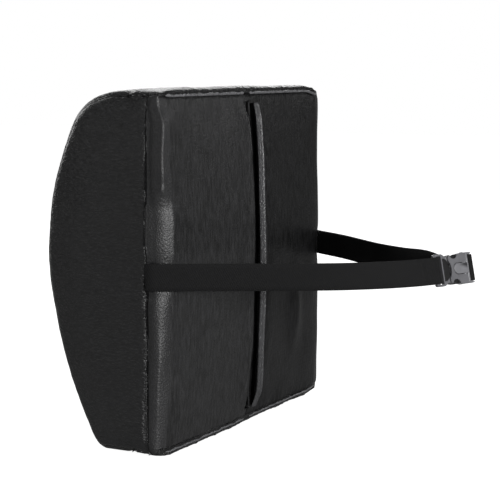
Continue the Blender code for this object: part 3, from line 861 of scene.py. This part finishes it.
class MakeCover(bpy.types.Operator):
    """Make the sewn cover: swell the block, work its seams and folds, and part it into its panels"""

    bl_idname = "cushion.cover"
    bl_label = "Cover panels"

    def execute(self, context):
        cover = context.scene.cushion_cover
        tree, seams = seam_tree()
        whole = placed("whole_cover", mesh_of("whole_cover", block_grid(GRID)))
        swell(whole, tree, cover.crown)
        smooth = whole.modifiers.new("smooth", "SUBSURF")
        smooth.levels = smooth.render_levels = 2
        bm = bmesh.new()
        bm.from_object(whole, context.evaluated_depsgraph_get())
        bpy.data.objects.remove(whole)
        bm.normal_update()
        moves = [worked(v.co, v.normal, tree, seams, cover) for v in bm.verts]
        for vert, move in zip(bm.verts, moves):
            vert.co += move
        cut_seams(bm)
        whole_mesh = mesh_of("cut_cover", bm)
        looks = {
            "leather": leather_finish(
                "pebbled_faux_leather", cover.leather, cover.grain, (1, 0.45, 1), 0.40, relief=1.15),
            # The back corners' strip is real leather, lightened 1.7 times past the sides' leather: a painted
            # highlight on the bulged corner
            "strip": leather_finish(
                "pebbled_strip", times(cover.leather, 1.7), cover.grain * 0.75, (1, 1, 1), 0.47, relief=0.50),
            "woven": woven_finish("leathercloth", cover.back, 0.5),
            # The right back panel's copy is darkened to 0.55: painted shade for the light falling off across
            # the back
            "woven_painted_shade": woven_finish("leathercloth_painted_shade", times(cover.back, 0.55), 0.26),
        }
        for name, (region, node, look) in PANELS.items():
            bm = bmesh.new()
            bm.from_mesh(whole_mesh)
            others = [f for f in bm.faces if region_of(f.calc_center_median()) != region]
            bmesh.ops.delete(bm, geom=others, context="FACES")
            turn_in_edges(bm, ALLOWANCE)
            two_looks = look.startswith("woven")
            if two_looks:
                # Faces near the back corners take the strip leather with its painted highlight
                for face in bm.faces:
                    face.material_index = int(abs(face.calc_center_median().x) > SIDE_X - STRIP_WIDTH)
            made = piece_from(name, bm, looks[look], "root", (node,))
            if two_looks:
                made.data.materials.append(looks["strip"])
        bpy.data.meshes.remove(whole_mesh)
        return {"FINISHED"}


class MakeStitching(bpy.types.Operator):
    """Make the rows of stitches along the borders"""

    bl_idname = "cushion.stitching"
    bl_label = "Stitching"

    def execute(self, context):
        trim = context.scene.cushion_trim
        look = thread_finish("grey_thread", trim.thread_colour)
        dg = context.evaluated_depsgraph_get()
        for end, z, up in (("top", TOP, 1), ("bottom", 0, -1)):
            target = bpy.data.objects["border_" + end].evaluated_get(dg)
            bm = bmesh.new()
            for forward in STITCH_ROWS:
                places = []
                count = int(2 * SIDE_EDGE / trim.stitch)
                for i in range(count):
                    x = -SIDE_EDGE + (i + 0.5) * trim.stitch
                    hit, point, out, _ = target.ray_cast(
                        Vector((x, BACK - forward, z + up * 0.02)), Vector((0, 0, -up)))
                    if hit:
                        places.append((point, Vector((1, 0, 0)), out if out.z * up > 0 else -out))
                stitch_row(bm, places, trim.stitch, trim.thread)
            piece_from("stitches_" + end, bm, look, "root")
        return {"FINISHED"}


class MakeSeamRolls(bpy.types.Operator):
    """Make the puckered rolls of leather along the back panels' top and bottom seams, coloured far lighter than
    the panels as a painted highlight
    """

    bl_idname = "cushion.seam_rolls"
    bl_label = "Seam rolls"

    def execute(self, context):
        cover = context.scene.cushion_cover
        # The rolls' leather is nine times the back panels' colour: a painted highlight on the puckers
        look = leather_finish("seam_leather_painted_highlight", times(cover.back, 9), cover.grain, (1, 1, 1), 0.34)
        dg = context.evaluated_depsgraph_get()
        ring = [(math.cos(math.tau * k / 8), math.sin(math.tau * k / 8)) for k in range(8)]
        rolls = (
            ("seam_roll_top", TOP - BORDER_EDGE - 0.0006, 0.0013, -FAR_TOP_DROP, 0.0014, -0.0050),
            ("seam_roll_bottom", BORDER_EDGE + 0.0006, 0.0009, FAR_BASE_LIFT, 0.0, 0.0050))
        for name, z, thick, slope, raised, inside in rolls:
            bm = bmesh.new()
            for side, panel in ((1, "back_panel_left"), (-1, "back_panel_right")):
                target = bpy.data.objects[panel].evaluated_get(dg)
                route = []
                for i in range(161):
                    x = side * (0.0055 + (SIDE_EDGE - 0.012) * i / 160)
                    wave = wobble(x * 90, 2, z * 9) + 0.5 * wobble(x * 260, 5, z * 9)
                    level = z - base_drop(x, z) + far_slope(x) * slope + raised
                    behind = Vector((x, BACK + 0.04, level + inside))
                    hit, point, _, _ = target.ray_cast(behind, Vector((0, -1, 0)))
                    if hit:
                        route.append((Vector((x, point.y + 0.0002, level + wave * 0.0007)), 1 + 0.45 * wave))
                stations = []
                for i, (point, girth) in enumerate(route):
                    ends = min(i, len(route) - 1 - i) / 5
                    size = thick * girth * min(ends + 0.3, 1)
                    turn = Matrix.Rotation(math.pi / 2, 4, "Y") @ Matrix.Diagonal((size, size * 0.8, 1, 1))
                    stations.append(Matrix.Translation(point) @ turn)
                sweep(bm, ring, stations)
            piece_from(name, bm, look, "root")
        return {"FINISHED"}


class MakeZip(bpy.types.Operator):
    """Make the zip's tapes, teeth, stops, slider and pull"""

    bl_idname = "cushion.zip"
    bl_label = "Zip"

    def execute(self, context):
        trim = context.scene.cushion_trim
        cloth = tape_finish("zip_tape_knit", trim.webbing)
        coil = moulded_finish("zip_coil", trim.webbing)
        metal = metal_finish("blackened_metal", trim.metal)
        for side in ("left", "right"):
            eased_piece("zip_tape_" + side, "tape_" + side, cloth, "root", 0.0002)
            eased_piece("zip_stop_top_" + side, "top_stop_" + side, metal, "root", 0.0003)
            low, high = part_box("zip_teeth_" + side)
            middle = (low + high) / 2
            tooth = Matrix.Diagonal((high.x - low.x, high.y - low.y, trim.tooth * 0.62, 1))
            bm = bmesh.new()
            for i in range(int((high.z - low.z) / trim.tooth)):
                z = low.z + (i + (0.35 if side == "left" else 0.65)) * trim.tooth
                place = Matrix.Translation((middle.x, middle.y, z))
                made = bmesh.ops.create_cube(bm, size=1, matrix=place @ tooth)
                edges = list({e for v in made["verts"] for e in v.link_edges})
                bmesh.ops.bevel(
                    bm, geom=edges, offset=0.00025, segments=1, affect="EDGES", profile=0.5, material=-1)
            piece_from("teeth_" + side, bm, coil, "root", ("zip_teeth_" + side,), smooth=False)
        eased_piece("zip_stop_bottom", "bottom_stop", metal, "root", 0.0003)
        eased_piece("zip_slider", "slider", metal, "slider", 0.00018)
        eased_piece("zip_pull", "pull_tab", metal, "pull", 0.00025)
        return {"FINISHED"}


class MakeFlap(bpy.types.Operator):
    """Make the placket flap beside the zip"""

    bl_idname = "cushion.flap"
    bl_label = "Placket flap"

    def execute(self, context):
        cover = context.scene.cushion_cover
        trim = context.scene.cushion_trim
        low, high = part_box("zip_flap")
        section = (
            (FLAP_FOLD_X, 0.0012), (-0.0138, 0.0064), (-0.0108, 0.0104), (-0.0066, 0.0104), (-0.0036, 0.0082))
        spine = smooth_route([Vector((x, BACK + lift)) for x, lift in section], 8)
        outline = []
        last = len(spine) - 1
        for sign in (1, -1):
            for i in range(last + 1) if sign > 0 else range(last, -1, -1):
                run = (spine[min(i + 1, last)] - spine[max(i - 1, 0)]).normalized()
                ridge = 0.0013 * (bell(i / last, 0.60, 0.05) + bell(i / last, 0.94, 0.05)) if sign > 0 else 0
                outline.append(spine[i] + Vector((-run.y, run.x)) * (FLAP_THICK / 2 + ridge) * sign)
        bm = bmesh.new()
        stations = [Matrix.Translation((0, 0, low.z + (high.z - low.z) * i / 110)) for i in range(111)]
        sweep(bm, [tuple(p) for p in outline], stations)
        fold = BACK + 0.0009
        for vert in bm.verts:
            z = vert.co.z
            end = min(z - low.z, high.z - z)
            share = 1 - (0.30 if z > CREST else 0.55) * bell(end, 0, 0.011)
            share *= 1 + 0.07 * wobble(0, 3, z * 19) + 0.03 * wobble(5, 3, z * 60)
            lifted = vert.co.y - fold
            vert.co.y = fold + lifted * min(share, 1.02)
            vert.co.x += 0.0009 * wobble(1, 1, z * 16) * lifted / 0.01
            vert.co.y += back_fill(0, z) * rise(lifted / 0.0070)
        # The flap's leather is lighter than the back panels it belongs to: a painted highlight for its lit
        # ridges
        look = leather_finish("placket_leather_painted_highlight", times(cover.back, 3.2), cover.grain * 0.5, (1, 1, 0.3), 0.34)
        made = piece_from("placket_flap", bm, look, "flap", ("zip_flap",))
        smooth = made.modifiers.new("smooth", "SUBSURF")
        smooth.levels = smooth.render_levels = 1
        bm = bmesh.new()
        target = bpy.data.objects["back_panel_right"].evaluated_get(context.evaluated_depsgraph_get())
        seated = []
        for i in range(int((high.z - low.z - 0.02) / trim.stitch)):
            above = Vector((FLAP_STITCH_X, BACK + 0.0208, low.z + 0.01 + i * trim.stitch))
            hit, spot, _, _ = target.ray_cast(above, Vector((0, -1, 0)))
            if hit:
                seated.append((spot, Vector((0, 0, 1)), Vector((0, 1, 0))))
        stitch_row(bm, seated, trim.stitch, trim.thread)
        look = thread_finish("dark_thread", times(cover.back, 1.5))
        piece_from("flap_stitches", bm, look, "root")
        return {"FINISHED"}


# ---------------- straps


def round_corner(side, leave):
    """The strap's start at the side seam, lying round the back corner of one side."""
    centre = Vector((side * (SIDE_X - SIDE_ROUND), BACK - SIDE_ROUND, STRAP_HEIGHT))
    radius = SIDE_ROUND + GAP + WEB / 2
    points = [centre + Vector((side * radius, 0, 0))]
    for step in range(1, 5):
        angle = leave * step / 4
        points.append(centre + Vector((side * math.cos(angle), math.sin(angle), 0)) * radius)
    return points


def back_point(share, behind):
    return Vector((share * SIDE_X, BACK + behind, STRAP_HEIGHT))


def buckle_point(along, inward, up=0):
    return BUCKLE @ Vector((along, inward, up))


def lacing_route():
    """How the left strap goes round the buckle's end bar and back, in the buckle's plan."""
    bar, bar_wide, bar_half, lead, tail = 0.0038, 0.0044, 0.0014, 0.0080, 0.0165
    layer = bar_half + GAP + WEB / 2
    turn = bar + bar_wide / 2 + GAP + WEB / 2
    apart = (WEB + GAP) / 2
    near = bar - bar_wide / 2
    corners = [
        (-lead, -apart), (near, -layer), (turn, -layer), (turn, layer), (near, layer), (-lead, apart),
        (-tail, apart)]
    return fillet(corners, 0.0010)


def loop_route():
    """Round the plug's bar and back to the seam, in the buckle's plan."""
    bar, length, radius = 0.0476, 0.0120, 0.0018 + GAP + WEB / 2
    lean = Vector((-0.31, 0.95)).normalized()
    across = Vector((-lean.y, lean.x))
    centre = Vector((bar, 0))
    apart = WEB / 2 + GAP / 2
    pinch = math.asin((radius - apart) / length)
    points = [centre + lean * length + across * apart]
    for step in range(17):
        angle = -pinch + (math.pi + 2 * pinch) * step / 16
        points.append(centre + (across * math.cos(angle) - lean * math.sin(angle)) * radius)
    points.append(centre + lean * length - across * apart)
    return points, centre + lean * (length + GAP), lean


def webbing_stations(route, twist_from, twist_to):
    """A place for the band's outline at each point of its route, from upright to square with the buckle."""
    upright = Vector((0, 0, 1))
    leaning = BUCKLE.to_3x3() @ upright
    stations = []
    for i, point in enumerate(route):
        before = (point - route[i - 1]).normalized() if i else (route[1] - point).normalized()
        after = (route[i + 1] - point).normalized() if i + 1 < len(route) else before
        along = (before + after).normalized()
        stretch = 1 / max(along.dot(before), 0.5)
        share = rise((i - twist_from) / (twist_to - twist_from)) if twist_to > twist_from else 1
        across = upright.lerp(leaning, share).normalized()
        out = along.cross(across).normalized()
        across = out.cross(along).normalized()
        turn = Matrix((across, out * stretch, along)).transposed().to_4x4()
        stations.append(Matrix.Translation(point) @ turn)
    return stations


class MakeStraps(bpy.types.Operator):
    """Make the two straps and the loop on the plug"""

    bl_idname = "cushion.straps"
    bl_label = "Straps"

    def execute(self, context):
        trim = context.scene.cushion_trim
        look = webbing_finish("woven_webbing", trim.webbing)
        outline = webbing_outline(WEB_WIDTH, WEB)
        hand = [buckle_point(*p) for p in lacing_route()]
        start = round_corner(1, math.radians(28))
        free = smooth_route(
            [start[-1], back_point(0.755, 0.0605), back_point(0.536, 0.1240), back_point(0.424, 0.1500),
             back_point(0.279, 0.1740), buckle_point(-0.0200, -(WEB + GAP) / 2), hand[0]], 12)
        route = start[:-1] + free[:-1] + hand
        self.band("strap_webbing_left", route, 40, len(route) - len(hand) - 8, outline, look, ("strap_left",))

        plan, foot, lean = loop_route()
        start = [p + Vector((-0.0058, 0.0034, 0)) for p in round_corner(-1, math.radians(42))]
        free = smooth_route(
            [start[-1], back_point(-0.806, 0.0490), back_point(-0.509, 0.1060), back_point(-0.364, 0.1440),
             back_point(-0.291, 0.1730), buckle_point(*(foot + lean * 0.012)), buckle_point(*foot)], 12)
        route = start[:-1] + free
        right = self.band(
            "strap_webbing_right", route, 40, len(route) - 14, outline, look, ("strap_right",), body=None)
        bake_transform(right)
        loop = [buckle_point(*p) for p in plan]
        self.band("plug_loop", loop, 0, 0, outline, look, ("strap_right_loop",), body="plug")
        return {"FINISHED"}

    def band(self, name, route, twist_from, twist_to, outline, look, replaced, body="root"):
        bm = bmesh.new()
        where = sweep(bm, outline, webbing_stations(route, twist_from, twist_to))
        write_uv(bm, where)
        made = piece_from(name, bm, look, body, replaced)
        made.data.set_sharp_from_angle(angle=math.radians(50))
        return made


class MakeBuckle(bpy.types.Operator):
    """Make the side-release buckle"""

    bl_idname = "cushion.buckle"
    bl_label = "Buckle"

    def execute(self, context):
        trim = context.scene.cushion_trim
        look = moulded_finish("moulded_plastic", trim.plastic)
        # The plug's plastic is lightened 1.35 times: a painted highlight on its guide
        painted_highlight_plastic = moulded_finish("moulded_plastic_plug_painted_highlight", times(trim.plastic, 1.35))
        # The prongs' plastic is darkened to a tenth so the windows round them read dark: painted shade
        painted_shade_plastic = moulded_finish("moulded_plastic_painted_shade", times(trim.plastic, 0.10))
        for node, name, body, finish in (
                ("buckle_housing", "housing", "root", look), ("buckle_plug", "plug_body", "plug", painted_highlight_plastic),
                ("buckle_prong_upper", "prong_top", "prong_upper", painted_shade_plastic),
                ("buckle_prong_lower", "prong_bottom", "prong_lower", painted_shade_plastic)):
            eased_piece(node, name, finish, body, 0.00022)
        bm = bmesh.new()
        bmesh.ops.create_circle(bm, cap_ends=True, segments=48, radius=1)
        grown = bmesh.ops.extrude_face_region(bm, geom=bm.faces[:])
        for vert in grown["geom"]:
            if isinstance(vert, bmesh.types.BMVert):
                vert.co.z = 1
        face_out(bm)
        for vert in bm.verts:
            along, across, lift = vert.co
            vert.co = buckle_point(0.0124 + max(along, 0) * 0.0080, -0.0012 - 0.0004 * lift, across * 0.0108)
        bmesh.ops.remove_doubles(bm, verts=bm.verts[:], dist=0.00001)
        face_out(bm)
        look = pad_finish("grip_pad_finish", trim.webbing)
        pad = piece_from("grip_pad", bm, look, "root", smooth=False)
        pad.data.set_sharp_from_angle(angle=SHARP_ANGLE)
        return {"FINISHED"}


class MakeStage(bpy.types.Operator):
    """Make the floor, the lights and the camera"""

    bl_idname = "cushion.stage"
    bl_label = "Stage"

    def execute(self, context):
        scene = context.scene
        scene.view_settings.view_transform = "Standard"
        world = bpy.data.worlds.new("studio")
        scene.world = world
        world.use_nodes = True
        tree = world.node_tree
        glow = tree.nodes["Background"]
        glow.inputs["Color"].default_value = (1, 1, 1, 1)
        seen = tree.nodes.new("ShaderNodeLightPath")
        level = tree.nodes.new("ShaderNodeMapRange")
        level.inputs["To Min"].default_value = 0.10
        level.inputs["To Max"].default_value = 1.0
        tree.links.new(seen.outputs["Is Camera Ray"], level.inputs["Value"])
        tree.links.new(level.outputs["Result"], glow.inputs["Strength"])

        bm = bmesh.new()
        bmesh.ops.create_grid(bm, x_segments=2, y_segments=2, size=6)
        floor = placed("floor", mesh_of("floor", bm))
        floor.location.z = -0.0060
        pale = Finish("pale_floor")
        speckle = pale.clouds(pale.place(), 40, 2.0)
        direct = pale.node("ShaderNodeLightPath")
        pale.set(
            Base_Color=pale.shades(speckle, (0.30, 0.30, 0.30), (0.32, 0.32, 0.32)), Roughness=0.9,
            Emission_Color=pale.shades(direct, (0.10, 0.10, 0.10), (0.98, 0.98, 0.98)), Emission_Strength=1.0,
            Specular_IOR_Level=0.0)
        floor.data.materials.append(pale.material)

        for name, at, size, power in (
                ("left_softbox", (-1.35, 1.05, 0.75), 0.35, 1.7),
                ("corner_softbox", (0.95, 1.75, 0.45), 0.35, 32),
                ("side_softbox", (1.5, -0.95, 0.75), 0.35, 2.3), ("front_rim", (-0.75, -1.7, 0.9), 1.2, 12),
                ("far_rim", (-1.5, -0.8, 0.8), 0.9, 10), ("top_softbox", (0.3, 0.5, 1.9), 0.7, 9)):
            data = bpy.data.lights.new(name, "AREA")
            data.shape = "SQUARE"
            data.size = size
            data.energy = power
            aimed(placed(name, data), at, (0, 0, TOP / 2))

        data = bpy.data.cameras.new("camera")
        data.lens = 112.7
        data.sensor_width = 36
        scene.camera = placed("camera", data)
        aimed(scene.camera, (1.36451, 0.74802, 0.35682), (-0.01048, 0.028, 0.17053))
        return {"FINISHED"}


# Stitching, rolls and flap are seated on the panels, so they come after the cover
STEPS = (
    MakeStage, MakeFoam, MakeCover, MakeStitching, MakeSeamRolls, MakeZip, MakeFlap, MakeStraps, MakeBuckle)


class CushionPanel(bpy.types.Panel):
    """Lists the cushion's settings and steps"""

    bl_idname = "VIEW3D_PT_cushion"
    bl_label = "Lumbar Cushion"
    bl_space_type = "VIEW_3D"
    bl_region_type = "UI"
    bl_category = "Cushion"

    def draw(self, context):
        for group in (context.scene.cushion_cover, context.scene.cushion_trim):
            box = self.layout.box()
            for name in group.bl_rna.properties.keys():
                if name not in ("rna_type", "name"):
                    box.prop(group, name)
        for step in STEPS:
            self.layout.operator(step.bl_idname)


CLASSES = (CushionCover, CushionTrim, *STEPS, CushionPanel)


def register():
    for made in CLASSES:
        bpy.utils.register_class(made)
    bpy.types.Scene.cushion_cover = bpy.props.PointerProperty(type=CushionCover)
    bpy.types.Scene.cushion_trim = bpy.props.PointerProperty(type=CushionTrim)


def unregister():
    del bpy.types.Scene.cushion_trim
    del bpy.types.Scene.cushion_cover
    for made in reversed(CLASSES):
        bpy.utils.unregister_class(made)


def main():
    register()
    for step in STEPS:
        group, name = step.bl_idname.split(".")
        getattr(getattr(bpy.ops, group), name)()


if __name__ == "__main__":
    main()
